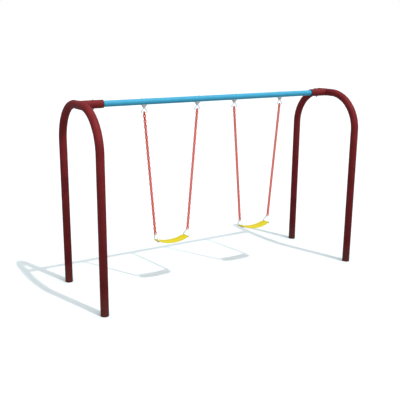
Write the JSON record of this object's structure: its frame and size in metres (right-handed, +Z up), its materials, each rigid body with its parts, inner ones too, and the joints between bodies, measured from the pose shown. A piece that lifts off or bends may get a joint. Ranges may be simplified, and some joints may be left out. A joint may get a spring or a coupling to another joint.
{
  "type": "swing set",
  "caption": "Swing set: bent-tube arches joined by a top rail in welded sleeves, with rubber belt seats hung on link chains from pivoting rod hangers.",
  "frame": {"origin": "on the ground at the middle of the set, below the middle of the top rail", "axes": "+X along the top rail, +Y to the back, square to the rail (the way the seats swing), +Z up"},
  "size_m": [3.9616, 1.3414, 2.4993],
  "materials": {
    "arch_paint": "satin powder coat, maroon",
    "rail_paint": "satin powder coat, sky blue",
    "chain_coating": "dipped plastic coating, light red",
    "seat_rubber": "moulded rubber, yellow",
    "galvanised_steel": "hot-dip galvanised",
    "zinc_plated_steel": "bright zinc plate",
    "spring_steel": "oiled spring steel",
    "bush_bronze": "sintered bronze",
    "collar_plastic": "moulded nylon, black"
  },
  "bodies": {
    "frame": {"hanger_bolts": "zinc_plated_steel", "hanger_nuts": "zinc_plated_steel", "hanger_washers": "zinc_plated_steel", "left_arch": "arch_paint", "left_collar": "collar_plastic", "left_inner_bracket": "galvanised_steel", "left_inner_pivot_pin": "zinc_plated_steel", "left_outer_bracket": "galvanised_steel", "left_outer_pivot_pin": "zinc_plated_steel", "left_sleeve": "arch_paint", "left_spacer": "collar_plastic", "pin_clips": "zinc_plated_steel", "right_arch": "arch_paint", "right_collar": "collar_plastic", "right_inner_bracket": "galvanised_steel", "right_inner_pivot_pin": "zinc_plated_steel", "right_outer_bracket": "galvanised_steel", "right_outer_pivot_pin": "zinc_plated_steel", "right_sleeve": "arch_paint", "right_spacer": "collar_plastic", "sleeve_bolts": "zinc_plated_steel", "sleeve_nuts": "zinc_plated_steel", "sleeve_washers": "zinc_plated_steel", "top_rail": "rail_paint"},
    "left_hangers": {"left_inner_bush": "bush_bronze", "left_inner_yoke": "galvanised_steel", "left_outer_bush": "bush_bronze", "left_outer_yoke": "galvanised_steel"},
    "left_chains": {"left_inner_chain": "chain_coating", "left_outer_chain": "chain_coating"},
    "left_seat": {"left_inner_delta": "galvanised_steel", "left_outer_delta": "galvanised_steel", "left_seat": "seat_rubber", "left_seat_insert": "spring_steel"},
    "right_hangers": {"right_inner_bush": "bush_bronze", "right_inner_yoke": "galvanised_steel", "right_outer_bush": "bush_bronze", "right_outer_yoke": "galvanised_steel"},
    "right_chains": {"right_inner_chain": "chain_coating", "right_outer_chain": "chain_coating"},
    "right_seat": {"right_inner_delta": "galvanised_steel", "right_outer_delta": "galvanised_steel", "right_seat": "seat_rubber", "right_seat_insert": "spring_steel"}
  },
  "joints": [
    {"name": "left_swing", "type": "hinge", "parent": "frame", "child": "left_hangers", "pos_m": [-0.68, 0, 2.37895], "axis": [1, 0, 0], "range_deg": [-60, 60]},
    {"name": "left_chain_pivot", "type": "hinge", "parent": "left_hangers", "child": "left_chains", "pos_m": [-0.68, 0, 2.30495], "axis": [1, 0, 0], "range_deg": [-20, 20]},
    {"name": "left_seat_tilt", "type": "hinge", "parent": "left_chains", "child": "left_seat", "pos_m": [-0.68, 0, 0.67914], "axis": [1, 0, 0], "range_deg": [-35, 35]},
    {"name": "right_swing", "type": "hinge", "parent": "frame", "child": "right_hangers", "pos_m": [0.68, 0, 2.37895], "axis": [1, 0, 0], "range_deg": [-60, 60]},
    {"name": "right_chain_pivot", "type": "hinge", "parent": "right_hangers", "child": "right_chains", "pos_m": [0.68, 0, 2.30495], "axis": [1, 0, 0], "range_deg": [-20, 20]},
    {"name": "right_seat_tilt", "type": "hinge", "parent": "right_chains", "child": "right_seat", "pos_m": [0.68, 0, 0.67914], "axis": [1, 0, 0], "range_deg": [-35, 35]}
  ]
}
